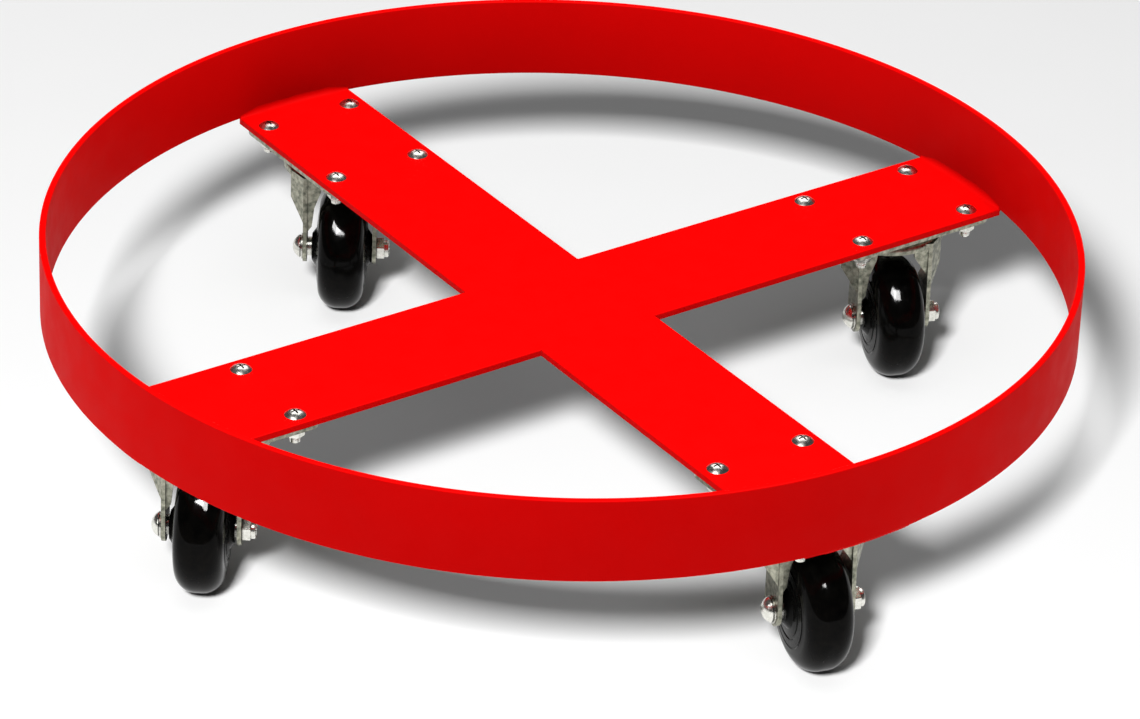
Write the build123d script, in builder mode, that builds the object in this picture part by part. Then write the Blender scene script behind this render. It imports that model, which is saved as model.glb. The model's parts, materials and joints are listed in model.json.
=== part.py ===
"""Drum dolly: a flat-bar ring on a flush cross of two bars, carried by four swivel casters.

Millimetres. The origin is on the floor under the centre of the ring and +Z is up. The long
cross bar runs along Y and the two half bars run along X, with a caster under each of the four
ends. Every caster is drawn in its own swivel plane: the plane's origin is on the floor below
the kingpin, its x axis points the way the wheel trails and its y axis runs along the axle,
from the bolt head to the lock nut.
"""

from build123d import *
import math
import os

# Frame
ring_inner_radius = 300.0
ring_wall = 4.0
ring_height = 50.8
ring_top = 150.0
ring_edge_round = 0.9
ring_outer_radius = ring_inner_radius + ring_wall
ring_bottom = ring_top - ring_height
bar_width = 80.0
bar_thickness = 4.0
bar_top = 100.0
bar_bottom = bar_top - bar_thickness
bar_edge_round = 0.8
arm_reach = ring_outer_radius - bar_width / 2
weld_leg = 4.0
weld_throat = weld_leg * 0.42
under_weld_lift = 0.2
under_weld_margin = 1.2
weld_end_gap = 1.0
seam_bead_width = 5.0
seam_bead_height = 1.2
seam_end_gap = 2.0

# Casters: where they stand, and which way each one points at rest
kingpin_distance = 240.0
caster_places = {
    "right": (kingpin_distance, 0.0, -113.0),
    "back": (0.0, kingpin_distance, -124.5),
    "left": (-kingpin_distance, 0.0, -127.5),
    "front": (0.0, -kingpin_distance, -107.0),
}
# How far each wheel has slid along its sleeve towards the lock nut
wheel_floats = {"right": 1.0, "back": 1.4, "left": 0.2, "front": 1.2}

# Caster top plate, long side along the arm
plate_length = 104.0
plate_width = 80.0
plate_thickness = 2.5
plate_corner = 8.0
plate_top = bar_bottom
plate_bottom = plate_top - plate_thickness
bolt_pitch_along = 79.0
bolt_pitch_across = 59.0

# Mounting screws, lock washers and nuts
screw_radius = 2.98
screw_hole_radius = 3.25
screw_length = 18.0
screw_tip_chamfer = 0.8
screw_head_radius = 6.4
screw_head_height = 2.6
recess_span = 6.0
recess_slot = 1.3
recess_depth = 1.5
recess_taper = 12.0
lock_washer_inner = 3.15
lock_washer_outer = 5.4
lock_washer_height = 1.6
lock_washer_slit = 1.0
nut_across_flats = 10.0
nut_height = 5.0
nut_corner_radius = 5.6
nut_turn = 20.0
nut_bore_radius = 3.0

# Swivel head
crown_radius = 36.5
crown_thickness = 2.6
crown_top = 90.4
crown_bottom = crown_top - crown_thickness
crown_lip_bottom = 84.6
crown_lip_thickness = 2.3
crown_bend = 4.5
crown_inner_bend = 2.3
race_bulge_half_width = 4.4
race_bulge_height = 1.1
crown_bore_radius = 5.08
kingpin_radius = 5.0
kingpin_head_radius = 7.6
kingpin_foot_radius = 8.2
kingpin_foot_height = 3.2
upper_race_radius = 24.0
upper_ball_radius = 2.5
upper_ball_count = 16
lower_race_radius = 12.5
lower_ball_radius = 2.0
lower_ball_count = 10
race_clearance = 0.12
upper_race_depth = 0.9
lower_race_depth = 0.8
upper_ball_z = plate_bottom + upper_race_depth - upper_ball_radius - race_clearance
lower_ball_z = crown_bottom + lower_race_depth - lower_ball_radius - race_clearance
cup_outer_radius = 18.0
cup_thickness = 2.0
cup_top = 85.3
cup_bottom = cup_top - cup_thickness
cup_lip_height = 1.3

# Fork legs
swivel_lead = 25.0
axle_height = 38.0
leg_thickness = 2.4
leg_outer = 22.75
leg_inner = leg_outer - leg_thickness
leg_foot_radius = 9.6
leg_foot_stretch = 3.5
leg_front_top = 31.0
leg_rear_top = 7.0
leg_rear_step = 5.0
leg_overlap = 0.5
shoulder_outer = 31.0
shoulder_top = 70.0
shoulder_foot = 57.0
shoulder_front = 20.0
hollow_lift = leg_thickness * 0.3
hollow_shift = leg_thickness * 0.35
hollow_margin = 4.0
ear_top_y = 10.75
ear_bend = (12.0, 79.0)
ear_waist = (15.9, 68.0)
ear_tip = (17.4, 55.0)
ear_foot_z = 50.0
nut_side_ear_foot_z = 66.0

# Axle
axle_radius = 4.0
axle_hole_radius = 4.1
axle_head_radius = 7.3
axle_head_height = 5.4
axle_flange_radius = 8.0
axle_flange_height = 1.1
axle_neck_height = 0.9
axle_neck_step = 0.6
axle_neck_draft = 0.3
axle_tip = 8.2
axle_tip_chamfer = (1.2, 1.4)
lock_nut_across_flats = 12.7
lock_nut_hex_height = 5.0
lock_nut_corner_radius = 7.15
lock_nut_collar_radius = 5.4
lock_nut_height = 7.8
lock_nut_clearance = 0.02
lock_nut_edge_round = 1.0
sleeve_radius = 5.9
sleeve_bore_radius = axle_radius + 0.06
sleeve_end_gap = 0.05

# Wheel
wheel_radius = 38.0
tyre_half_width = 14.4
tyre_shoulder_round = 12.4
tyre_inner_radius = 22.0
wheel_bore_radius = sleeve_radius + 0.06
hub_half_width = 18.6
hub_boss_radius = 8.4
hub_cone_radius = 12.2
hub_foot_half_width = 15.9
rim_half_width = 14.9

os.makedirs("parts", exist_ok=True)


def save(builder, label):
    builder.part.label = label
    export_step(builder.part, f"parts/{label}.step")


def swivel_plane(place):
    """Plane on the floor under a kingpin, with x along the trail and y along the axle."""
    x, y, trail_angle = place
    angle = math.radians(trail_angle)
    return Plane(origin=(x, y, 0), x_dir=(math.cos(angle), math.sin(angle), 0), z_dir=(0, 0, 1))


def arm_plane(place):
    """Plane on the floor under a kingpin, with x along the cross arm."""
    x, y, _ = place
    return Plane(origin=(x, y, 0), x_dir=(x, y, 0), z_dir=(0, 0, 1))


def upright(plane):
    """The vertical plane through a floor plane's x axis: x stays x, and y is height."""
    return Plane(origin=plane.origin, x_dir=plane.x_dir, z_dir=plane.y_dir * -1)


def facing_trail(plane, distance):
    """A vertical plane across the fork: x runs along the axle and y is height."""
    origin = plane.from_local_coords((distance, 0, 0))
    return Plane(origin=origin, x_dir=plane.y_dir, z_dir=plane.x_dir)


def axle_plane(plane):
    """The same, through the axle: x runs along the axle and y is the radius above it."""
    origin = plane.from_local_coords((swivel_lead, 0, axle_height))
    return Plane(origin=origin, x_dir=plane.y_dir, z_dir=plane.x_dir)


def wheel_plane(plane, wheel_float):
    """The axle plane, moved along the axle to the middle of the wheel."""
    return axle_plane(plane).move(Location((wheel_float, 0, 0)))


def cap_middle(radius, height):
    """Radius and rise of the middle point on the outline of a spherical cap."""
    sphere = (radius**2 + height**2) / (2 * height)
    half_angle = math.asin(radius / sphere) / 2
    return sphere * math.sin(half_angle), height - sphere * (1 - math.cos(half_angle))


def kingpin_axis(plane):
    return Axis(plane.origin, (0, 0, 1))


def axle_axis(plane):
    return Axis(axle_plane(plane).origin, plane.y_dir)


def bolt_points(place):
    """The four mounting screw positions of one caster."""
    plane = arm_plane(place)
    points = []
    for along in (-bolt_pitch_along / 2, bolt_pitch_along / 2):
        for across in (-bolt_pitch_across / 2, bolt_pitch_across / 2):
            points.append(plane.from_local_coords((along, across, 0)))
    return points


all_bolts = [point for place in caster_places.values() for point in bolt_points(place)]
bolt_spots = [(point.X, point.Y) for point in all_bolts]

# ---------------------------------------------------------------- ring and cross

with BuildPart() as ring_band:
    with BuildSketch(Plane.XY.offset(ring_bottom)):
        Circle(ring_outer_radius)
        Circle(ring_inner_radius, mode=Mode.SUBTRACT)
    extrude(amount=ring_height)
    fillet(ring_band.edges().filter_by(GeomType.CIRCLE), radius=ring_edge_round)
save(ring_band, "ring_band")


def arm(direction):
    """One arm of the cross, from the crossing to the ring, with its long top edges rounded."""
    along = Vector(*direction)
    holes = [spot for spot in all_bolts if spot.dot(along) > bar_width / 2]
    with BuildPart() as bar:
        with BuildSketch(Plane(origin=(0, 0, bar_bottom), x_dir=along, z_dir=(0, 0, 1))):
            with Locations(((bar_width + arm_reach) / 2, 0)):
                Rectangle(arm_reach, bar_width)
            Circle(ring_inner_radius, mode=Mode.INTERSECT)
        extrude(amount=bar_thickness)
        long_edges = bar.edges().filter_by(Axis((0, 0, 0), along))
        fillet(long_edges.group_by(Axis.Z)[-1], radius=bar_edge_round)
        with Locations(*[spot + Vector(0, 0, bar_top) for spot in holes]):
            Hole(screw_hole_radius)
    return bar


back_arm = arm((0, 1, 0))
front_arm = arm((0, -1, 0))

with BuildPart() as cross_bar_long:
    with BuildSketch(Plane.XY.offset(bar_bottom)):
        Rectangle(bar_width, bar_width)
    extrude(amount=bar_thickness)
    add(back_arm.part)
    add(front_arm.part)
save(cross_bar_long, "cross_bar_long")
save(arm((1, 0, 0)), "cross_bar_right")
save(arm((-1, 0, 0)), "cross_bar_left")

bead_arc = 2 * math.degrees(math.asin((bar_width / 2 - weld_end_gap) / ring_inner_radius))

with BuildPart() as ring_welds:
    for arm_angle in (0, 90, 180, 270):
        start = Plane.XZ.rotated((0, 0, arm_angle - bead_arc / 2))
        with BuildSketch(start):
            with BuildLine():
                Line((ring_inner_radius, bar_top), (ring_inner_radius, bar_top + weld_leg))
                ThreePointArc(
                    (ring_inner_radius, bar_top + weld_leg),
                    (ring_inner_radius - weld_throat, bar_top + weld_throat),
                    (ring_inner_radius - weld_leg, bar_top),
                )
                Line((ring_inner_radius - weld_leg, bar_top), (ring_inner_radius, bar_top))
            make_face()
            with BuildLine():
                Polyline(
                    (ring_inner_radius, ring_bottom),
                    (ring_inner_radius, bar_bottom + under_weld_lift),
                    (ring_outer_radius - under_weld_margin, ring_bottom),
                    close=True,
                )
            make_face()
        revolve(axis=Axis.Z, revolution_arc=bead_arc)
save(ring_welds, "ring_welds")

with BuildPart() as centre_welds:
    for side in (-1, 1):
        with BuildSketch(Plane.XZ.offset(-bar_width / 2 + seam_end_gap)):
            with BuildLine():
                Line(
                    ((side * bar_width - seam_bead_width) / 2, bar_bottom),
                    ((side * bar_width + seam_bead_width) / 2, bar_bottom),
                )
                ThreePointArc(
                    ((side * bar_width + seam_bead_width) / 2, bar_bottom),
                    (side * bar_width / 2, bar_bottom - seam_bead_height),
                    ((side * bar_width - seam_bead_width) / 2, bar_bottom),
                )
            make_face()
        extrude(amount=bar_width - 2 * seam_end_gap)
save(centre_welds, "centre_welds")

# ---------------------------------------------------------------- fasteners

with BuildPart() as mounting_screws:
    with BuildSketch(Plane.XY.offset(bar_top - screw_length)):
        with Locations(*bolt_spots):
            Circle(screw_radius)
    extrude(amount=screw_length)
    chamfer(mounting_screws.edges().group_by(Axis.Z)[0], length=screw_tip_chamfer)
    cap_out, cap_up = cap_middle(screw_head_radius, screw_head_height)
    for x, y in bolt_spots:
        with BuildSketch(Plane.XZ.offset(-y)):
            with BuildLine():
                Line((x, bar_top), (x + screw_head_radius, bar_top))
                ThreePointArc(
                    (x + screw_head_radius, bar_top),
                    (x + cap_out, bar_top + cap_up),
                    (x, bar_top + screw_head_height),
                )
                Line((x, bar_top + screw_head_height), (x, bar_top))
            make_face()
        revolve(axis=Axis((x, y, 0), (0, 0, 1)))
    with BuildSketch(Plane.XY.offset(bar_top + screw_head_height)):
        with Locations(*bolt_spots):
            Rectangle(recess_span, recess_slot)
            Rectangle(recess_slot, recess_span)
    extrude(amount=-recess_depth, taper=recess_taper, mode=Mode.SUBTRACT)
save(mounting_screws, "mounting_screws")

with BuildPart() as lock_washers:
    with BuildSketch(Plane.XY.offset(plate_bottom - lock_washer_height)):
        with Locations(*bolt_spots):
            Circle(lock_washer_outer)
            Circle(lock_washer_inner, mode=Mode.SUBTRACT)
        with Locations(*[(x + lock_washer_outer / 2, y) for x, y in bolt_spots]):
            Rectangle(lock_washer_outer, lock_washer_slit, mode=Mode.SUBTRACT)
    extrude(amount=lock_washer_height)
save(lock_washers, "lock_washers")

with BuildPart() as mounting_nuts:
    nut_top = plate_bottom - lock_washer_height
    with BuildSketch(Plane.XY.offset(nut_top - nut_height)):
        with Locations(*bolt_spots):
            RegularPolygon(nut_across_flats / 2, 6, major_radius=False, rotation=nut_turn)
    extrude(amount=nut_height)
    with BuildSketch(Plane.XY.offset(nut_top - nut_height)):
        with Locations(*bolt_spots):
            Circle(nut_corner_radius)
    extrude(amount=nut_height, mode=Mode.INTERSECT)
    with Locations(*[(x, y, nut_top) for x, y in bolt_spots]):
        Hole(nut_bore_radius)
save(mounting_nuts, "mounting_nuts")

# ---------------------------------------------------------------- casters


def caster_plate(place):
    """Flat top plate with the pressed upper race and a countersunk kingpin hole."""
    plane = arm_plane(place)
    with BuildPart() as plate:
        with BuildSketch(plane.offset(plate_bottom)):
            RectangleRounded(plate_length, plate_width, plate_corner)
        extrude(amount=plate_thickness)
        with BuildSketch(upright(plane)):
            with Locations((upper_race_radius, upper_ball_z)):
                Circle(upper_ball_radius + race_clearance)
        revolve(axis=kingpin_axis(plane), mode=Mode.SUBTRACT)
        with BuildSketch(upright(plane)):
            with BuildLine():
                Polyline(
                    (0, plate_bottom),
                    (kingpin_radius, plate_bottom),
                    (kingpin_head_radius, plate_top),
                    (0, plate_top),
                    close=True,
                )
            make_face()
        revolve(axis=kingpin_axis(plane), mode=Mode.SUBTRACT)
        with Locations(*[point + Vector(0, 0, plate_top) for point in bolt_points(place)]):
            Hole(screw_hole_radius)
    return plate


def kingpin(place):
    """Riveted pivot: flush head in the plate, plain shank, domed foot under the bearing cup."""
    plane = arm_plane(place)
    cap_out, cap_down = cap_middle(kingpin_foot_radius, kingpin_foot_height)
    with BuildPart() as pin:
        with BuildSketch(upright(plane)):
            with BuildLine():
                Polyline(
                    (0, cup_bottom),
                    (0, plate_top),
                    (kingpin_head_radius, plate_top),
                    (kingpin_radius, plate_bottom),
                    (kingpin_radius, cup_bottom),
                    close=True,
                )
            make_face()
        revolve(axis=kingpin_axis(plane))
        with BuildSketch(upright(plane)):
            with BuildLine():
                Line((0, cup_bottom), (kingpin_foot_radius, cup_bottom))
                ThreePointArc(
                    (kingpin_foot_radius, cup_bottom),
                    (cap_out, cup_bottom - cap_down),
                    (0, cup_bottom - kingpin_foot_height),
                )
                Line((0, cup_bottom - kingpin_foot_height), (0, cup_bottom))
            make_face()
        revolve(axis=kingpin_axis(plane))
    return pin


def bearing_cup(place):
    """Lower race, held up by the kingpin's foot."""
    plane = arm_plane(place)
    with BuildPart() as cup:
        with BuildSketch(upright(plane)):
            with BuildLine():
                Polyline(
                    (kingpin_radius, cup_bottom),
                    (cup_outer_radius, cup_bottom),
                    (cup_outer_radius, cup_top + cup_lip_height),
                    (cup_outer_radius - cup_thickness, cup_top + cup_lip_height),
                    (cup_outer_radius - cup_thickness, cup_top),
                    (kingpin_radius, cup_top),
                    close=True,
                )
            make_face()
            with Locations((lower_race_radius, lower_ball_z)):
                Circle(lower_ball_radius + race_clearance, mode=Mode.SUBTRACT)
        revolve(axis=kingpin_axis(plane))
    return cup


def ball_row(place, race_radius, height, ball_radius, count):
    """One row of bearing balls round the kingpin."""
    with BuildPart() as balls:
        with Locations(arm_plane(place).offset(height)):
            with PolarLocations(race_radius, count):
                Sphere(ball_radius)
    return balls


def crown_section(plane):
    """Half section of the fork's crown: flat disc, both races, rolled-down rim."""
    diagonal = 1 - math.sqrt(0.5)
    lip_inner = crown_radius - crown_lip_thickness
    bend_inner = lip_inner - crown_inner_bend
    bulge_outer = upper_race_radius + race_bulge_half_width
    bulge_inner = upper_race_radius - race_bulge_half_width
    with BuildSketch(upright(plane)) as section:
        with BuildLine():
            Polyline(
                (crown_bore_radius, crown_bottom),
                (crown_bore_radius, crown_top),
                (crown_radius - crown_bend, crown_top),
            )
            ThreePointArc(
                (crown_radius - crown_bend, crown_top),
                (crown_radius - crown_bend * diagonal, crown_top - crown_bend * diagonal),
                (crown_radius, crown_top - crown_bend),
            )
            Polyline(
                (crown_radius, crown_top - crown_bend),
                (crown_radius, crown_lip_bottom),
                (lip_inner, crown_lip_bottom),
                (lip_inner, crown_bottom - crown_inner_bend),
            )
            ThreePointArc(
                (lip_inner, crown_bottom - crown_inner_bend),
                (
                    lip_inner - crown_inner_bend * diagonal,
                    crown_bottom - crown_inner_bend * diagonal,
                ),
                (bend_inner, crown_bottom),
            )
            Line((bend_inner, crown_bottom), (bulge_outer, crown_bottom))
            ThreePointArc(
                (bulge_outer, crown_bottom),
                (upper_race_radius, crown_bottom - race_bulge_height),
                (bulge_inner, crown_bottom),
            )
            Line((bulge_inner, crown_bottom), (crown_bore_radius, crown_bottom))
        make_face()
        with Locations((upper_race_radius, upper_ball_z)):
            Circle(upper_ball_radius + race_clearance, mode=Mode.SUBTRACT)
        with Locations((lower_race_radius, lower_ball_z)):
            Circle(lower_ball_radius + race_clearance, mode=Mode.SUBTRACT)
    return section


def shoulder_hollow(plane):
    """The space inside both shoulders, one sheet thickness in from their outer faces."""
    inner_face = shoulder_outer - leg_thickness
    rear = leg_rear_top - hollow_margin
    with BuildPart() as hollow:
        for side in (-1, 1):
            with BuildSketch(facing_trail(plane, rear)):
                with BuildLine():
                    Polyline(
                        (side * (leg_inner - hollow_margin), shoulder_foot + hollow_lift),
                        (side * leg_inner, shoulder_foot + hollow_lift),
                        (side * inner_face, shoulder_top + hollow_lift),
                        (side * inner_face, crown_bottom),
                        (side * (leg_inner - hollow_margin), crown_bottom),
                        close=True,
                    )
                make_face()
            extrude(amount=leg_front_top - rear)
        with BuildSketch(plane.offset(shoulder_foot)):
            with BuildLine():
                Polyline(
                    (rear, -inner_face),
                    (shoulder_front - hollow_shift, -inner_face),
                    (leg_front_top - hollow_shift, -leg_inner),
                    (leg_front_top - hollow_shift, leg_inner),
                    (shoulder_front - hollow_shift, inner_face),
                    (rear, inner_face),
                    close=True,
                )
            make_face()
        extrude(amount=crown_bottom - shoulder_foot, mode=Mode.INTERSECT)
    return hollow


def fork(place):
    """Pressed fork: crown, two legs with wide shoulders, and the ears on their front edges."""
    plane = swivel_plane(place)
    side_on = upright(plane)
    foot = (swivel_lead, axle_height)
    foot_front = (swivel_lead + leg_foot_radius, axle_height)
    heel = (swivel_lead - leg_foot_stretch, axle_height)
    heel_rear = (swivel_lead - leg_foot_stretch - leg_foot_radius, axle_height)
    leg_top = crown_bottom + leg_overlap
    ear_root = leg_inner + leg_overlap
    head_side_ear = [
        (-ear_root, leg_top),
        (-ear_top_y, leg_top),
        (-ear_bend[0], ear_bend[1]),
        (-ear_waist[0], ear_waist[1]),
        (-ear_tip[0], ear_tip[1]),
        (-ear_root, ear_foot_z),
    ]
    nut_side_ear = [
        (ear_root, leg_top),
        (ear_top_y, leg_top),
        ear_bend,
        (ear_root, nut_side_ear_foot_z),
    ]
    hollow = shoulder_hollow(plane)
    crown = crown_section(plane)
    with BuildPart() as body:
        # Outer faces of the legs and shoulders, seen from the front, from above, from the side.
        for side in (-1, 1):
            with BuildSketch(facing_trail(plane, leg_rear_top)):
                with BuildLine():
                    Polyline(
                        (side * leg_inner, axle_height - leg_foot_radius),
                        (side * leg_outer, axle_height - leg_foot_radius),
                        (side * leg_outer, shoulder_foot),
                        (side * shoulder_outer, shoulder_top),
                        (side * shoulder_outer, leg_top),
                        (side * leg_inner, leg_top),
                        close=True,
                    )
                make_face()
            extrude(amount=swivel_lead + leg_foot_radius - leg_rear_top)
        with BuildSketch(plane):
            with BuildLine():
                Polyline(
                    (leg_rear_top, -shoulder_outer),
                    (shoulder_front, -shoulder_outer),
                    (leg_front_top, -leg_outer),
                    (swivel_lead + leg_foot_radius, -leg_outer),
                    (swivel_lead + leg_foot_radius, leg_outer),
                    (leg_front_top, leg_outer),
                    (shoulder_front, shoulder_outer),
                    (leg_rear_top, shoulder_outer),
                    close=True,
                )
            make_face()
        extrude(amount=leg_top, mode=Mode.INTERSECT)
        with BuildSketch(side_on):
            with BuildLine():
                Polyline(
                    foot_front,
                    (leg_front_top, leg_top),
                    (leg_rear_top, leg_top),
                    (leg_rear_top, shoulder_top),
                    (leg_rear_top + leg_rear_step, shoulder_foot),
                    heel_rear,
                )
                CenterArc(heel, leg_foot_radius, 180, 90)
                Line(
                    (heel[0], axle_height - leg_foot_radius),
                    (foot[0], axle_height - leg_foot_radius),
                )
                CenterArc(foot, leg_foot_radius, 270, 90)
            make_face()
        extrude(amount=shoulder_outer, both=True, mode=Mode.INTERSECT)
        add(hollow.part, mode=Mode.SUBTRACT)
        revolve(crown.sketch, axis=kingpin_axis(plane))
        for outline in (head_side_ear, nut_side_ear):
            with BuildSketch(facing_trail(plane, leg_front_top - leg_thickness)):
                with BuildLine():
                    Polyline(*outline, close=True)
                make_face()
            extrude(amount=leg_thickness)
        with BuildSketch(side_on):
            with Locations(foot):
                Circle(axle_hole_radius)
        extrude(amount=shoulder_outer, both=True, mode=Mode.SUBTRACT)
    return body


def axle_bolt(place):
    """Round-head bolt through both legs."""
    plane = swivel_plane(place)
    flange_face = -leg_outer - axle_flange_height
    dome_base = flange_face - axle_neck_height
    neck_radius = axle_head_radius - axle_neck_step
    tip = leg_outer + axle_tip
    cap_up, cap_out = cap_middle(axle_head_radius, axle_head_height - axle_neck_height)
    dome_top = flange_face - axle_head_height
    with BuildPart() as bolt:
        with BuildSketch(axle_plane(plane)):
            with BuildLine():
                Polyline(
                    (dome_top, 0),
                    (tip, 0),
                    (tip, axle_radius - axle_tip_chamfer[1]),
                    (tip - axle_tip_chamfer[0], axle_radius),
                    (-leg_outer, axle_radius),
                    (-leg_outer, axle_flange_radius),
                    (flange_face, axle_flange_radius),
                    (flange_face, neck_radius),
                    (dome_base + axle_neck_draft, neck_radius),
                    (dome_base, axle_head_radius),
                )
                ThreePointArc(
                    (dome_base, axle_head_radius),
                    (dome_base - cap_out, cap_up),
                    (dome_top, 0),
                )
            make_face()
        revolve(axis=axle_axis(plane))
    return bolt


def lock_nut(place):
    """Lock nut: hexagon with a round collar."""
    plane = swivel_plane(place)
    across = axle_plane(plane)
    hexagon_plane = Plane(
        origin=across.from_local_coords((leg_outer, 0, 0)),
        x_dir=(0, 0, 1),
        z_dir=across.x_dir,
    )
    with BuildPart() as nut:
        with BuildSketch(hexagon_plane):
            RegularPolygon(lock_nut_across_flats / 2, 6, major_radius=False)
        extrude(amount=lock_nut_hex_height)
        with BuildSketch(hexagon_plane):
            Circle(lock_nut_corner_radius)
        extrude(amount=lock_nut_hex_height, mode=Mode.INTERSECT)
        with BuildSketch(hexagon_plane.offset(lock_nut_hex_height)):
            Circle(lock_nut_collar_radius)
        extrude(amount=lock_nut_height - lock_nut_hex_height)
        fillet(nut.edges().sort_by(axle_axis(plane))[-1], radius=lock_nut_edge_round)
        with BuildSketch(hexagon_plane):
            Circle(axle_radius + lock_nut_clearance)
        extrude(amount=lock_nut_height, mode=Mode.SUBTRACT)
    return nut


def axle_sleeve(place):
    """Tube that the legs clamp and the wheel turns on."""
    plane = swivel_plane(place)
    half_length = leg_inner - sleeve_end_gap
    with BuildPart() as sleeve:
        with BuildSketch(axle_plane(plane)):
            with Locations((0, (sleeve_radius + sleeve_bore_radius) / 2)):
                Rectangle(2 * half_length, sleeve_radius - sleeve_bore_radius)
        revolve(axis=axle_axis(plane))
    return sleeve


def wheel_core(place, wheel_float):
    """Moulded centre: bore, hub bosses that taper out to the legs, slightly coned sides."""
    plane = swivel_plane(place)
    with BuildPart() as core:
        with BuildSketch(wheel_plane(plane, wheel_float)):
            with BuildLine():
                Polyline(
                    (-hub_half_width, wheel_bore_radius),
                    (-hub_half_width, hub_boss_radius),
                    (-hub_foot_half_width, hub_cone_radius),
                    (-rim_half_width, tyre_inner_radius),
                    (rim_half_width, tyre_inner_radius),
                    (hub_foot_half_width, hub_cone_radius),
                    (hub_half_width, hub_boss_radius),
                    (hub_half_width, wheel_bore_radius),
                    close=True,
                )
            make_face()
        revolve(axis=axle_axis(plane))
    return core


def tyre(place, wheel_float):
    """Hard tyre with a nearly half-round tread."""
    plane = swivel_plane(place)
    arc_centre_x = tyre_half_width - tyre_shoulder_round
    shoulder_y = wheel_radius - tyre_shoulder_round
    diagonal = tyre_shoulder_round * math.sqrt(0.5)
    with BuildPart() as tread:
        with BuildSketch(wheel_plane(plane, wheel_float)):
            with BuildLine():
                Polyline(
                    (-tyre_half_width, shoulder_y),
                    (-rim_half_width, tyre_inner_radius),
                    (rim_half_width, tyre_inner_radius),
                    (tyre_half_width, shoulder_y),
                )
                ThreePointArc(
                    (tyre_half_width, shoulder_y),
                    (arc_centre_x + diagonal, shoulder_y + diagonal),
                    (arc_centre_x, wheel_radius),
                )
                Line((arc_centre_x, wheel_radius), (-arc_centre_x, wheel_radius))
                ThreePointArc(
                    (-arc_centre_x, wheel_radius),
                    (-arc_centre_x - diagonal, shoulder_y + diagonal),
                    (-tyre_half_width, shoulder_y),
                )
            make_face()
        revolve(axis=axle_axis(plane))
    return tread


for name, place in caster_places.items():
    save(caster_plate(place), f"caster_plate_{name}")
    save(kingpin(place), f"kingpin_{name}")
    save(bearing_cup(place), f"bearing_cup_{name}")
    upper = ball_row(place, upper_race_radius, upper_ball_z, upper_ball_radius, upper_ball_count)
    save(upper, f"upper_balls_{name}")
    lower = ball_row(place, lower_race_radius, lower_ball_z, lower_ball_radius, lower_ball_count)
    save(lower, f"lower_balls_{name}")
    save(fork(place), f"fork_{name}")
    save(axle_bolt(place), f"axle_bolt_{name}")
    save(lock_nut(place), f"lock_nut_{name}")
    save(axle_sleeve(place), f"axle_sleeve_{name}")
    save(wheel_core(place, wheel_floats[name]), f"wheel_core_{name}")
    save(tyre(place, wheel_floats[name]), f"tyre_{name}")
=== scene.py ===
"""Looks of the drum dolly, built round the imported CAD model.

Lengths are millimetres, as in the CAD source, and MM turns them into metres; the floor, the lamps
and the camera are in metres. The ring, the wheel centres and the tyres are turned from rounded
outlines, the weld beads are lofted, and the tips of the screws get a thread. Every other CAD node
keeps its mesh and gets smooth shading, bevels where its edges need them, and a procedural material.
"""

import json
import math

import bmesh
import bpy
from mathutils import Matrix, Vector, noise


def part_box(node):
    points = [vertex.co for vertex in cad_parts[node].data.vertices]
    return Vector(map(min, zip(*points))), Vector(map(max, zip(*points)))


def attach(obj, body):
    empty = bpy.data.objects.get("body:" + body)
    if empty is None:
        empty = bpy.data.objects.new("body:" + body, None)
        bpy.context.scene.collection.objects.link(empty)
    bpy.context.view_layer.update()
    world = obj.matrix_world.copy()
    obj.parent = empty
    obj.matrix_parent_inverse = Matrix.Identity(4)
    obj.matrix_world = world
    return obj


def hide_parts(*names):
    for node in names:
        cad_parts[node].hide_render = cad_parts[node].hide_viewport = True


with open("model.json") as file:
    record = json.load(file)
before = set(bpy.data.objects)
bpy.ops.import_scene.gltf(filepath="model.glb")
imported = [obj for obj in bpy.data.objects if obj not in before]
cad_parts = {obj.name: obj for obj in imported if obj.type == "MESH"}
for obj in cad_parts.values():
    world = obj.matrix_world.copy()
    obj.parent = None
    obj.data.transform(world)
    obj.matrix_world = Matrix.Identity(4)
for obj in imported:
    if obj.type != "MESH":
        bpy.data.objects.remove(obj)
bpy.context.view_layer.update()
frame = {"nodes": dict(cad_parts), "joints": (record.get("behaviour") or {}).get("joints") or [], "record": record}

MM = 0.001
CORNERS = ("right", "back", "left", "front")
UP = Vector((0, 0, 1))

# Sizes that the CAD source also has
RING_WALL = 4.0
RING_EDGE_ROUND = 0.9
BAR_WIDTH = 80.0
WELD_LEG = 4.0
SEAM_BEAD_WIDTH = 5.0
SEAM_BEAD_HEIGHT = 1.2
SEAM_END_GAP = 2.0
SCREW_RADIUS = 2.98
BOLT_PITCH = (79.0, 59.0)
WHEEL_RADIUS = 38.0
TYRE_HALF_WIDTH = 14.4
TYRE_SHOULDER_ROUND = 12.4
TYRE_INNER_RADIUS = 22.0
RIM_HALF_WIDTH = 14.9
WHEEL_BORE_RADIUS = 5.96
HUB_HALF_WIDTH = 18.6
HUB_BOSS_RADIUS = 8.4
HUB_CONE_RADIUS = 12.2
HUB_FOOT_HALF_WIDTH = 15.9

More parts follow.
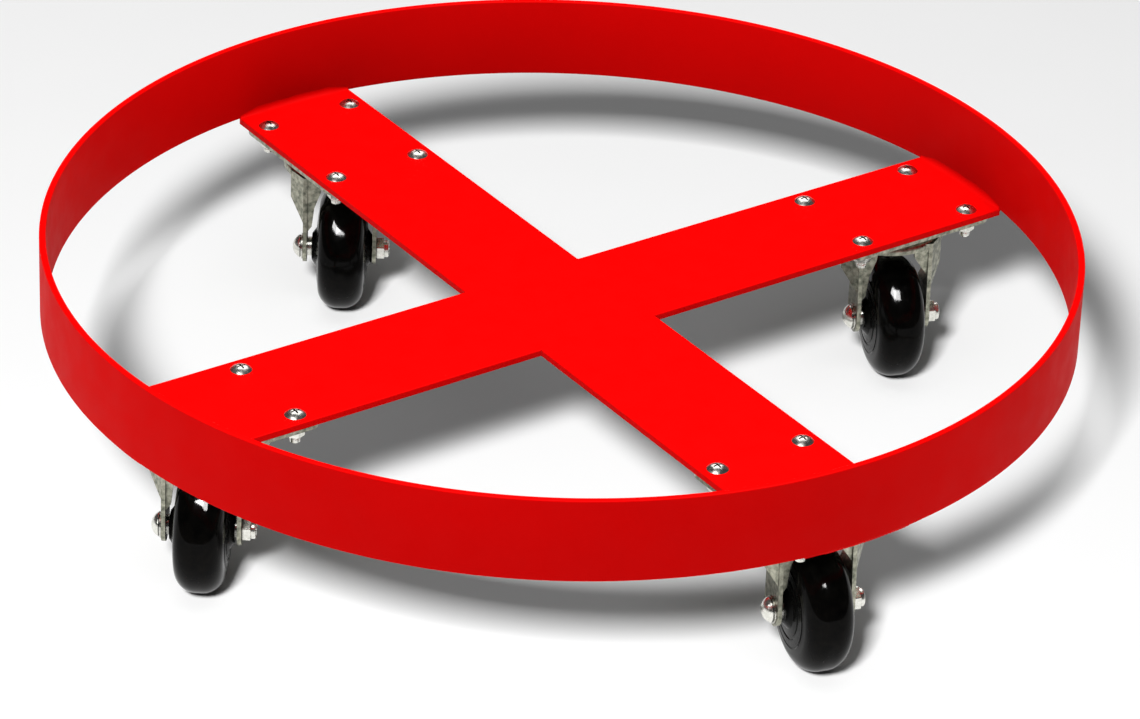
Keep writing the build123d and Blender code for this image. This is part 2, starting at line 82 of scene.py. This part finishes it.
# Weld beads: the sinks are how far a bead's hidden sides lie in the metal, and a bead swells
# from its end size to full size
RING_BEAD_STATIONS = 84
RING_BEAD_END_GAP = 0.6
RING_BEAD_END_SIZE = 0.35
RING_BEAD_GROWTH = 4.0
UPPER_BEAD_SINK = 0.3
LOWER_BEAD_SINK = 0.2
LOWER_BEAD_MARGIN = 0.4
SEAM_STATIONS = 150
SEAM_END_SIZE = 0.4
SEAM_GROWTH = 0.2
SEAM_SINK = 0.2
QUARTER_STEPS = 6
SEAM_STEPS = 8
RIPPLE_LENGTH = 2.6
RIPPLE_HEIGHT = 0.05
UNEVEN_SCALE = 0.12
UNEVEN_HEIGHT = 0.12
UPPER_BEAD_SEED = 0.0
LOWER_BEAD_SEED = 9.1
ARM_SEED_STEP = 1.7
SEAM_SEED = 20

# Screw threads, which fade out towards both ends
THREAD_ROOT = SCREW_RADIUS + 0.01
THREAD_CREST = SCREW_RADIUS + 0.22
THREAD_PITCH = 1.0
THREAD_START = 0.7
THREAD_FADE = 2.5

# Wheels: the hub's groove as (radius, depth), and the parting groove at the tyre's bead as
# (out from the tyre's inside, in from the rim's side)
SHOULDER_STEPS = 14
HUB_BOSS_ROUND = 0.5
HUB_FOOT_ROUND = 1.2
HUB_BORE_ROUND = 0.3
GROOVE_DEPTH = 0.45
GROOVE_ROUND = 0.1
HUB_GROOVE = ((16.6, 0.0), (17.0, GROOVE_DEPTH), (18.2, GROOVE_DEPTH), (18.6, 0.0))
PARTING_GROOVE = ((0.5, 0.0), (0.8, GROOVE_DEPTH), (1.5, GROOVE_DEPTH), (1.9, 0.2))

# Mesh fineness and smoothing
RING_SEGMENTS = 288
TYRE_SEGMENTS = 144
HUB_SEGMENTS = 96
SMOOTH_LIMIT = math.radians(30)
BEVEL_LIMIT = math.radians(32)
MERGE_REACH = 0.002

# Bevels of the CAD nodes that stay, as width and segments; a width of 0 is no bevel
BEVELS = {
    "cross_bar_long": (0.0, 2),
    "cross_bar_right": (0.0, 2),
    "cross_bar_left": (0.0, 2),
    "mounting_screws": (0.12, 2),
    "lock_washers": (0.15, 2),
    "mounting_nuts": (0.35, 2),
}
CASTER_BEVELS = {
    "fork": (0.45, 3),
    "axle_bolt": (0.2, 2),
    "lock_nut": (0.35, 2),
    "caster_plate": (0.3, 2),
    "kingpin": (0.0, 2),
    "bearing_cup": (0.15, 2),
    "axle_sleeve": (0.0, 2),
    "upper_balls": (0.0, 2),
    "lower_balls": (0.0, 2),
}

joints = {joint["name"]: joint for joint in frame["joints"]}
ring_low, ring_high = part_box("ring_band")
bar_low, bar_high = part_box("cross_bar_long")
ring_radius = ring_high.x / MM
ring_bore = ring_radius - RING_WALL
ring_foot = ring_low.z / MM
ring_top = ring_high.z / MM
bar_foot = bar_low.z / MM
bar_top = bar_high.z / MM

# ---------------------------------------------------------------- materials


def grain(tree, scale, detail=4.0, roughness=0.55):
    """Noise in the piece's own coordinates, about 1 / scale metres across."""
    place = next((n for n in tree.nodes if n.type == "TEX_COORD"), None)
    place = place or tree.nodes.new("ShaderNodeTexCoord")
    made = tree.nodes.new("ShaderNodeTexNoise")
    made.inputs["Scale"].default_value = scale
    made.inputs["Detail"].default_value = detail
    made.inputs["Roughness"].default_value = roughness
    tree.links.new(place.outputs["Object"], made.inputs["Vector"])
    return made.outputs["Fac"]


def spread(tree, value, low, high, start=0.3, end=0.7):
    """Maps a value between start and end onto a range."""
    made = tree.nodes.new("ShaderNodeMapRange")
    made.inputs["From Min"].default_value = start
    made.inputs["From Max"].default_value = end
    made.inputs["To Min"].default_value = low
    made.inputs["To Max"].default_value = high
    tree.links.new(value, made.inputs["Value"])
    return made.outputs["Result"]


def mixed(tree, first, second, share):
    """Mixes two colours by a share from another node; the second may come from a node too."""
    mix = tree.nodes.new("ShaderNodeMix")
    mix.data_type = "RGBA"
    mix.inputs["A"].default_value = (*first, 1)
    if isinstance(second, tuple):
        mix.inputs["B"].default_value = (*second, 1)
    else:
        tree.links.new(second, mix.inputs["B"])
    tree.links.new(share, mix.inputs["Factor"])
    return mix.outputs["Result"]


def shade_creases(tree, colour, reach, shade_colour):
    """Paints shade into a colour: darkens it in the creases that are narrower than about the reach, in
    millimetres.
    """
    crease = tree.nodes.new("ShaderNodeAmbientOcclusion")
    crease.samples = 12
    crease.inputs["Distance"].default_value = reach * MM
    openness = spread(tree, crease.outputs["AO"], 0, 1, start=0.25, end=0.85)
    return mixed(tree, shade_colour, colour, openness)


def bumped(tree, bumps):
    """Normal after a stack of noise bumps, each (scale, strength, depth in millimetres)."""
    normal = None
    for scale, strength, depth in bumps:
        bump = tree.nodes.new("ShaderNodeBump")
        bump.inputs["Strength"].default_value = strength
        bump.inputs["Distance"].default_value = depth * MM
        tree.links.new(grain(tree, scale, detail=2.0), bump.inputs["Height"])
        if normal is not None:
            tree.links.new(normal, bump.inputs["Normal"])
        normal = bump.outputs["Normal"]
    return normal


def surface(name, tones, tone_scale, gloss, gloss_scale, bumps, crease_shade=None, **uniform):
    """Procedural material: colour between two tones, roughness in a range, stacked bumps.

    gloss is (lowest, highest) roughness; the optional crease argument is (reach in millimetres, colour) of a
    painted shade that darkens the creases; the rest are values of the shader's own sockets.
    """
    material = bpy.data.materials.new(name)
    material.use_nodes = True
    tree = material.node_tree
    shader = tree.nodes["Principled BSDF"]
    for socket, value in uniform.items():
        shader.inputs[socket.replace("_", " ")].default_value = value
    colour = mixed(tree, *tones, spread(tree, grain(tree, tone_scale), 0, 1))
    # Painted shade: the colour darkens in narrow creases, from ambient occlusion
    if crease_shade:
        colour = shade_creases(tree, colour, *crease_shade)
    tree.links.new(colour, shader.inputs["Base Color"])
    tree.links.new(spread(tree, grain(tree, gloss_scale), *gloss), shader.inputs["Roughness"])
    tree.links.new(bumped(tree, bumps), shader.inputs["Normal"])
    return material


finishes = {
    "red_paint": surface(
        "red_powder_coat",
        tones=((0.71, 0.0, 0.0), (0.77, 0.0, 0.0)),
        tone_scale=9.0,
        gloss=(0.52, 0.66),
        gloss_scale=60.0,
        bumps=((1300.0, 0.35, 0.03), (160.0, 0.25, 0.05)),
        Specular_IOR_Level=0.03,
    ),
    "yellow_zinc": surface(
        "zinc_plate_yellowish",
        tones=((0.12, 0.13, 0.10), (0.52, 0.51, 0.41)),
        tone_scale=300.0,
        gloss=(0.26, 0.46),
        gloss_scale=320.0,
        bumps=((900.0, 0.4, 0.03), (120.0, 0.35, 0.12)),
        # Painted shade in the creases, from ambient occlusion
        crease_shade=(5.0, (0.02, 0.018, 0.014)),
        Metallic=1.0,
    ),
    "bright_zinc": surface(
        "zinc_plate_bright",
        tones=((0.66, 0.66, 0.60), (0.90, 0.89, 0.83)),
        tone_scale=420.0,
        gloss=(0.18, 0.34),
        gloss_scale=500.0,
        bumps=((1500.0, 0.3, 0.02),),
        # Painted shade in the creases, from ambient occlusion
        crease_shade=(2.2, (0.008, 0.007, 0.006)),
        Metallic=1.0,
    ),
    "ball_steel": surface(
        "bearing_steel",
        tones=((0.70, 0.70, 0.71), (0.80, 0.80, 0.81)),
        tone_scale=500.0,
        gloss=(0.06, 0.14),
        gloss_scale=700.0,
        bumps=((2500.0, 0.1, 0.004),),
        Metallic=1.0,
    ),
    "black_plastic": surface(
        "black_moulded_plastic",
        tones=((0.004, 0.004, 0.004), (0.010, 0.010, 0.009)),
        tone_scale=240.0,
        gloss=(0.16, 0.32),
        gloss_scale=300.0,
        bumps=((1800.0, 0.25, 0.02), (140.0, 0.2, 0.05)),
        Specular_IOR_Level=0.05,
    ),
    "black_tyre": surface(
        "black_hard_tread",
        tones=((0.003, 0.003, 0.003), (0.008, 0.007, 0.006)),
        tone_scale=160.0,
        gloss=(0.05, 0.14),
        gloss_scale=210.0,
        bumps=((700.0, 0.12, 0.02), (60.0, 0.25, 0.10)),
        Specular_IOR_Level=0.05,
    ),
}

for subpart in frame["record"]["subparts"]:
    materials = frame["nodes"][subpart["node"]].data.materials
    materials.clear()
    materials.append(finishes[subpart["material_slot"]])

# ---------------------------------------------------------------- mesh tools


def axis_place(origin, axis):
    """Matrix whose local +Z is the axis and whose local +X is as near +Z of the world as it can be."""
    z = Vector(axis).normalized()
    x = (UP - z * UP.dot(z)).normalized()
    turned = Matrix((x, z.cross(x), z)).transposed().to_4x4()
    return Matrix.Translation(origin) @ turned


def rounded(points, steps=5):
    """Closed outline of (x, y, corner radius) points as plain (x, y) points."""
    done = []
    for index, (x, y, radius) in enumerate(points):
        here = Vector((x, y))
        if radius <= 0:
            done.append((x, y))
            continue
        before = (Vector(points[index - 1][:2]) - here).normalized()
        after = (Vector(points[(index + 1) % len(points)][:2]) - here).normalized()
        half = before.angle(after) / 2
        centre = here + (before + after).normalized() * (radius / math.sin(half))
        start = here + before * (radius / math.tan(half)) - centre
        end = here + after * (radius / math.tan(half)) - centre
        for step in range(steps + 1):
            share = step / steps
            spoke = (start * (1 - share) + end * share).normalized() * radius
            done.append(tuple(centre + spoke))
    return done


def bridge(mesh, first, second):
    """Faces between two closed loops of vertices."""
    count = len(first)
    for index in range(count):
        after = (index + 1) % count
        mesh.faces.new((first[index], first[after], second[after], second[index]))


def turned_loop(mesh, place, radii, height):
    """Closed loop of vertices about the place's +Z, with one radius for each step round it."""
    loop = []
    for step, radius in enumerate(radii):
        angle = 2 * math.pi * step / len(radii)
        spot = Vector((radius * math.cos(angle), radius * math.sin(angle), height))
        loop.append(mesh.verts.new(place @ (spot * MM)))
    return loop


def lathe(mesh, outline, place, segments):
    """Turns a closed outline of (radius, height) in millimetres about the place's +Z."""
    loops = [turned_loop(mesh, place, [radius] * segments, height) for radius, height in outline]
    for first, second in zip(loops, loops[1:] + loops[:1]):
        bridge(mesh, first, second)


def loft(mesh, sections):
    """Skins closed sections of equal size, with an n-gon on both ends."""
    loops = [[mesh.verts.new(spot * MM) for spot in section] for section in sections]
    for first, second in zip(loops, loops[1:]):
        bridge(mesh, first, second)
    mesh.faces.new(loops[0])
    mesh.faces.new(loops[-1])


def piece(name, mesh, slot, body, stands_for=(), sharp=35):
    """Finishes a mesh as a piece of the object that rides on a CAD body."""
    bmesh.ops.recalc_face_normals(mesh, faces=mesh.faces)
    data = bpy.data.meshes.new(name)
    mesh.to_mesh(data)
    mesh.free()
    data.shade_smooth()
    data.set_sharp_from_angle(angle=math.radians(sharp))
    data.materials.append(finishes[slot])
    made = bpy.data.objects.new(name, data)
    bpy.context.scene.collection.objects.link(made)
    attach(made, body)
    if stands_for:
        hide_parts(*stands_for)


def smoothing_group():
    """Geometry nodes that shade a mesh smooth except across its sharper edges."""
    group = bpy.data.node_groups.new("smooth_by_angle", "GeometryNodeTree")
    group.interface.new_socket("Geometry", in_out="INPUT", socket_type="NodeSocketGeometry")
    group.interface.new_socket("Geometry", in_out="OUTPUT", socket_type="NodeSocketGeometry")
    start = group.nodes.new("NodeGroupInput")
    bare = group.nodes.new("GeometryNodeRemoveAttribute")
    bare.inputs["Name"].default_value = "custom_normal"
    faces = group.nodes.new("GeometryNodeSetShadeSmooth")
    edges = group.nodes.new("GeometryNodeSetShadeSmooth")
    edges.domain = "EDGE"
    edges.inputs["Shade Smooth"].default_value = False
    angle = group.nodes.new("GeometryNodeInputMeshEdgeAngle")
    sharper = group.nodes.new("FunctionNodeCompare")
    sharper.operation = "GREATER_THAN"
    sharper.inputs[1].default_value = SMOOTH_LIMIT
    end = group.nodes.new("NodeGroupOutput")
    group.links.new(start.outputs[0], bare.inputs["Geometry"])
    group.links.new(bare.outputs[0], faces.inputs["Geometry"])
    group.links.new(faces.outputs[0], edges.inputs["Geometry"])
    group.links.new(angle.outputs["Unsigned Angle"], sharper.inputs[0])
    group.links.new(sharper.outputs["Result"], edges.inputs["Selection"])
    group.links.new(edges.outputs[0], end.inputs[0])
    return group


smooth_by_angle = smoothing_group()


def soften(name, width, segments):
    """Finish for a CAD node that stays: welded seams, bevelled edges, smooth curves."""
    target = frame["nodes"][name]
    seam = target.modifiers.new("seams", "WELD")
    seam.merge_threshold = MERGE_REACH * MM
    if width:
        bevel = target.modifiers.new("edges", "BEVEL")
        bevel.width = width * MM
        bevel.segments = segments
        bevel.limit_method = "ANGLE"
        bevel.angle_limit = BEVEL_LIMIT
        bevel.use_clamp_overlap = True
    smooth = target.modifiers.new("smooth", "NODES")
    smooth.node_group = smooth_by_angle
    if width:
        weighted = target.modifiers.new("weighted", "WEIGHTED_NORMAL")
        weighted.keep_sharp = True


for name, bevel in BEVELS.items():
    soften(name, *bevel)
for corner in CORNERS:
    for name, bevel in CASTER_BEVELS.items():
        soften(f"{name}_{corner}", *bevel)

# ---------------------------------------------------------------- ring

ring_outline = [
    (ring_bore, ring_foot, RING_EDGE_ROUND),
    (ring_radius, ring_foot, RING_EDGE_ROUND),
    (ring_radius, ring_top, RING_EDGE_ROUND),
    (ring_bore, ring_top, RING_EDGE_ROUND),
]
ring = bmesh.new()
lathe(ring, rounded(ring_outline), Matrix.Identity(4), RING_SEGMENTS)
piece("ring_band_rolled", ring, "red_paint", "frame", ["ring_band"])

# ---------------------------------------------------------------- welds


def ripple(along, seed):
    """Uneven height of a weld bead, about one, along its length in millimetres."""
    wave = RIPPLE_HEIGHT * math.sin(2 * math.pi * along / RIPPLE_LENGTH)
    return 1 + wave + UNEVEN_HEIGHT * noise.noise(Vector((along * UNEVEN_SCALE, seed, 0.0)))


def turns(angle, steps):
    """Even steps from zero to an angle, both ends included."""
    return [angle * step / steps for step in range(steps + 1)]


def hollow_section(outward, leg):
    """Section of the weld in the corner above the arm: a concave fillet between arm and ring."""
    spots = [
        outward * (ring_bore + UPPER_BEAD_SINK) + UP * (bar_top - UPPER_BEAD_SINK),
        outward * (ring_bore - leg) + UP * (bar_top - UPPER_BEAD_SINK),
    ]
    for turn in turns(math.pi / 2, QUARTER_STEPS):
        inset = leg * (1 - math.sin(turn))
        rise = leg * (1 - math.cos(turn))
        spots.append(outward * (ring_bore - inset) + UP * (bar_top + rise))
    spots.append(outward * (ring_bore + UPPER_BEAD_SINK) + UP * (bar_top + leg))
    return spots


def round_section(outward, depth):
    """Section of the weld under the ring: a quarter round against the arm's end."""
    spots = [outward * (ring_bore - LOWER_BEAD_SINK) + UP * (ring_foot + LOWER_BEAD_SINK)]
    for turn in turns(math.pi / 2, QUARTER_STEPS):
        out = outward * (ring_bore + depth * math.sin(turn))
        spots.append(out + UP * (ring_foot - depth * math.cos(turn)))
    spots.append(outward * (ring_bore + depth) + UP * (ring_foot + LOWER_BEAD_SINK))
    return spots


def ring_bead(mesh, arm_angle, upper, seed):
    """Weld between an arm's end and the ring: above the arm, or under the ring."""
    reach = math.asin((BAR_WIDTH / 2 - RING_BEAD_END_GAP) / ring_bore)
    deepest = ring_foot - bar_foot - LOWER_BEAD_MARGIN
    sections = []
    for station in range(RING_BEAD_STATIONS + 1):
        share = station / RING_BEAD_STATIONS
        angle = arm_angle + reach * (2 * share - 1)
        taper = min(1.0, RING_BEAD_END_SIZE + RING_BEAD_GROWTH * min(share, 1 - share))
        size = taper * ripple(share * BAR_WIDTH, seed)
        outward = Vector((math.cos(angle), math.sin(angle), 0))
        if upper:
            sections.append(hollow_section(outward, WELD_LEG * size))
        else:
            sections.append(round_section(outward, deepest * min(1.0, size)))
    loft(mesh, sections)


beads = bmesh.new()
for arm in range(4):
    ring_bead(beads, arm * math.pi / 2, True, UPPER_BEAD_SEED + ARM_SEED_STEP * arm)
    ring_bead(beads, arm * math.pi / 2, False, LOWER_BEAD_SEED + ARM_SEED_STEP * arm)
piece("ring_weld_beads", beads, "red_paint", "frame", ["ring_welds"], sharp=60)


def seam_section(across, along, size):
    """Half-oval section of the weld under the bars, where a half bar meets the long one."""
    half_width = SEAM_BEAD_WIDTH * size / 2
    height = SEAM_BEAD_HEIGHT * size
    spots = [Vector((across - half_width, along, bar_foot + SEAM_SINK))]
    for turn in turns(math.pi, SEAM_STEPS):
        sideways = across - half_width * math.cos(turn)
        spots.append(Vector((sideways, along, bar_foot - height * math.sin(turn))))
    spots.append(Vector((across + half_width, along, bar_foot + SEAM_SINK)))
    return spots


seams = bmesh.new()
for side in (-1, 1):
    sections = []
    for station in range(SEAM_STATIONS + 1):
        along = (station / SEAM_STATIONS - 0.5) * (BAR_WIDTH - 2 * SEAM_END_GAP)
        to_end = BAR_WIDTH / 2 - SEAM_END_GAP - abs(along)
        taper = min(1.0, SEAM_END_SIZE + SEAM_GROWTH * to_end)
        size = taper * ripple(along, SEAM_SEED + side)
        sections.append(seam_section(side * BAR_WIDTH / 2, along, size))
    loft(seams, sections)
piece("centre_weld_beads", seams, "red_paint", "frame", ["centre_welds"], sharp=60)

# ---------------------------------------------------------------- screw tips


def thread(mesh, place, length, segments=20, rows_per_turn=8):
    """Open tube with a helical thread, for the visible end of a screw."""
    rows = int(length / THREAD_PITCH * rows_per_turn)
    loops = []
    for row in range(rows + 1):
        height = THREAD_START + length * row / rows
        fade = min(1.0, THREAD_FADE * row / rows, THREAD_FADE * (rows - row) / rows)
        radii = []
        for step in range(segments):
            phase = (height / THREAD_PITCH - step / segments) % 1.0
            radii.append(THREAD_ROOT + (THREAD_CREST - THREAD_ROOT) * abs(2 * phase - 1) * fade)
        loops.append(turned_loop(mesh, place, radii, height))
    for first, second in zip(loops, loops[1:]):
        bridge(mesh, first, second)


screw_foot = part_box("mounting_screws")[0].z
nut_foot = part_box("mounting_nuts")[0].z
tips = bmesh.new()
for corner in CORNERS:
    pin = Vector(joints[f"swivel_joint_{corner}"]["pos_m"])
    along = Vector((pin.x, pin.y, 0)).normalized()
    across = UP.cross(along)
    for pitch in (-0.5, 0.5):
        for side in (-0.5, 0.5):
            spot = pin + (along * pitch * BOLT_PITCH[0] + across * side * BOLT_PITCH[1]) * MM
            place = Matrix.Translation(Vector((spot.x, spot.y, screw_foot)))
            thread(tips, place, (nut_foot - screw_foot) / MM - THREAD_START)
piece("screw_threads", tips, "bright_zinc", "frame", sharp=60)

# ---------------------------------------------------------------- wheels


def tread_side(side):
    """One side of the tyre's section: bead, parting groove, then the round shoulder to the tread."""
    outline = []
    for out, inset in PARTING_GROOVE:
        outline.append((TYRE_INNER_RADIUS + out, side * (RIM_HALF_WIDTH - inset)))
    for turn in turns(math.pi / 2, SHOULDER_STEPS):
        radius = WHEEL_RADIUS - TYRE_SHOULDER_ROUND + TYRE_SHOULDER_ROUND * math.sin(turn)
        height = TYRE_HALF_WIDTH - TYRE_SHOULDER_ROUND + TYRE_SHOULDER_ROUND * math.cos(turn)
        outline.append((radius, side * height))
    return outline


def tyre_outline():
    """Section of the tyre: its straight inside, then one side, the tread and the other side."""
    inside = [(TYRE_INNER_RADIUS, RIM_HALF_WIDTH), (TYRE_INNER_RADIUS, -RIM_HALF_WIDTH)]
    return inside + tread_side(-1) + tread_side(1)[::-1]


def core_outline():
    """Section of the moulded centre: tapered bosses, coned sides with a ring groove, and the bore."""
    slope = (HUB_FOOT_HALF_WIDTH - RIM_HALF_WIDTH) / (TYRE_INNER_RADIUS - HUB_CONE_RADIUS)
    half = [
        (HUB_BOSS_RADIUS, HUB_HALF_WIDTH, HUB_BOSS_ROUND),
        (HUB_CONE_RADIUS, HUB_FOOT_HALF_WIDTH, HUB_FOOT_ROUND),
    ]
    for radius, depth in HUB_GROOVE:
        height = HUB_FOOT_HALF_WIDTH - slope * (radius - HUB_CONE_RADIUS) - depth
        half.append((radius, height, GROOVE_ROUND))
    half.append((TYRE_INNER_RADIUS, RIM_HALF_WIDTH, 0.0))
    other = [(radius, -height, bend) for radius, height, bend in half[::-1]]
    bore = [
        (WHEEL_BORE_RADIUS, -HUB_HALF_WIDTH, HUB_BORE_ROUND),
        (WHEEL_BORE_RADIUS, HUB_HALF_WIDTH, HUB_BORE_ROUND),
    ]
    return rounded(half + other + bore, steps=4)


for corner in CORNERS:
    tyre_low, tyre_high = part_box(f"tyre_{corner}")
    place = axis_place((tyre_low + tyre_high) / 2, joints[f"axle_joint_{corner}"]["axis"])
    body = f"wheel_{corner}"
    tyre = bmesh.new()
    lathe(tyre, tyre_outline(), place, TYRE_SEGMENTS)
    piece(f"tyre_moulded_{corner}", tyre, "black_tyre", body, [f"tyre_{corner}"], sharp=40)
    core = bmesh.new()
    lathe(core, core_outline(), place, HUB_SEGMENTS)
    piece(f"wheel_core_moulded_{corner}", core, "black_plastic", body, [f"wheel_core_{corner}"])

# ---------------------------------------------------------------- floor

FLOOR_HALF_WIDTH = 9.0

floor_mesh = bmesh.new()
bmesh.ops.create_grid(floor_mesh, x_segments=8, y_segments=8, size=FLOOR_HALF_WIDTH)
floor_data = bpy.data.meshes.new("floor")
floor_mesh.to_mesh(floor_data)
floor_mesh.free()
floor_material = surface(
    "studio_floor",
    tones=((0.90, 0.90, 0.90), (0.92, 0.92, 0.92)),
    tone_scale=2.0,
    gloss=(0.75, 0.85),
    gloss_scale=4.0,
    bumps=((40.0, 0.02, 0.05),),
    Specular_IOR_Level=0.1,
)
floor_data.materials.append(floor_material)
floor = bpy.data.objects.new("floor", floor_data)
bpy.context.scene.collection.objects.link(floor)

# ---------------------------------------------------------------- lights

LIGHT_AIM = Vector((0, 0, 0.08))
WORLD_STRENGTH = 0.05


def toward(azimuth, elevation):
    """Unit vector from the object towards a direction in degrees; azimuth 0 is over -Y."""
    a, e = math.radians(azimuth), math.radians(elevation)
    return Vector((math.sin(a) * math.cos(e), -math.cos(a) * math.cos(e), math.sin(e)))


def finished_in(*slots):
    """Every object of the dolly whose finish is one of the slots."""
    wanted = {finishes[slot] for slot in slots}
    return [
        thing
        for thing in bpy.context.scene.objects
        if thing.type == "MESH" and wanted.intersection(thing.data.materials)
    ]


def softbox(name, azimuth, elevation, distance, size, power, targets):
    """Rectangular area light on a sphere round the object that lights only the targets."""
    lamp = bpy.data.lights.new(name, "AREA")
    lamp.shape = "RECTANGLE"
    lamp.size, lamp.size_y = size
    lamp.energy = power
    holder = bpy.data.objects.new(name, lamp)
    back = toward(azimuth, elevation)
    holder.location = LIGHT_AIM + back * distance
    holder.rotation_mode = "QUATERNION"
    holder.rotation_quaternion = (-back).to_track_quat("-Z", "Y")
    bpy.context.scene.collection.objects.link(holder)
    receivers = bpy.data.collections.new(f"{name}_receivers")
    holder.light_linking.receiver_collection = receivers
    for target in targets:
        receivers.objects.link(target)
    return holder


paint = finished_in("red_paint")
metal = finished_in("yellow_zinc", "bright_zinc", "ball_steel")
wheels = finished_in("black_plastic", "black_tyre")

# Name, azimuth and elevation in degrees, distance and size in metres, power in watts, targets
softbox("floor_key", -48.6, 40, 7.0, (1.07, 1.07), 710, [floor])
softbox("floor_fill", -35, 88, 5.0, (5.0, 5.0), 40, [floor])
softbox("paint_overhead", -35, 84, 2.6, (2.2, 1.6), 120, paint)
softbox("paint_side", -110, 24, 3.2, (1.2, 1.6), 16, paint)
softbox("metal_window", -60, 62, 2.6, (1.5, 0.9), 16, metal)
softbox("metal_side", -95, 30, 3.0, (0.9, 1.4), 14, metal)
softbox("metal_back", 145, 50, 2.8, (2.4, 2.6), 40, metal)

# The wheels are lit by gloss alone, so that they stay black
for window, azimuth in enumerate((-78, -28)):
    shine = softbox(f"wheel_window_{window}", azimuth, 64, 2.6, (1.4, 0.9), 700, wheels)
    shine.visible_diffuse = False

# The paint throws no red light onto the floor, so the shadows stay neutral
for thing in paint:
    thing.visible_diffuse = False

world = bpy.data.worlds.new("studio")
world.use_nodes = True
world.node_tree.nodes["Background"].inputs["Color"].default_value = (1, 1, 1, 1)
world.node_tree.nodes["Background"].inputs["Strength"].default_value = WORLD_STRENGTH
bpy.context.scene.world = world
bpy.context.scene.view_settings.view_transform = "Standard"

# ---------------------------------------------------------------- camera

CAMERA_AZIMUTH = -35.2
CAMERA_ELEVATION = 29.3
CAMERA_ROLL = math.radians(2.25)
CAMERA_DISTANCE = 3.108
CAMERA_LENS = 167.1
CAMERA_SHIFT = (0.0088, -0.0492)
SENSOR_WIDTH = 36.0

camera_data = bpy.data.cameras.new("camera")
camera_data.lens = CAMERA_LENS
camera_data.sensor_width = SENSOR_WIDTH
camera_data.shift_x, camera_data.shift_y = CAMERA_SHIFT
camera = bpy.data.objects.new("camera", camera_data)
back = toward(CAMERA_AZIMUTH, CAMERA_ELEVATION)
right = UP.cross(back).normalized()
upward = back.cross(right)
image_right = right * math.cos(CAMERA_ROLL) + upward * math.sin(CAMERA_ROLL)
image_up = upward * math.cos(CAMERA_ROLL) - right * math.sin(CAMERA_ROLL)
turned = Matrix((image_right, image_up, back)).transposed().to_4x4()
camera.matrix_world = Matrix.Translation(UP * bar_high.z + back * CAMERA_DISTANCE) @ turned
bpy.context.scene.collection.objects.link(camera)
bpy.context.scene.camera = camera

# ---------------------------------------------------------------- scene update

bpy.context.view_layer.update()
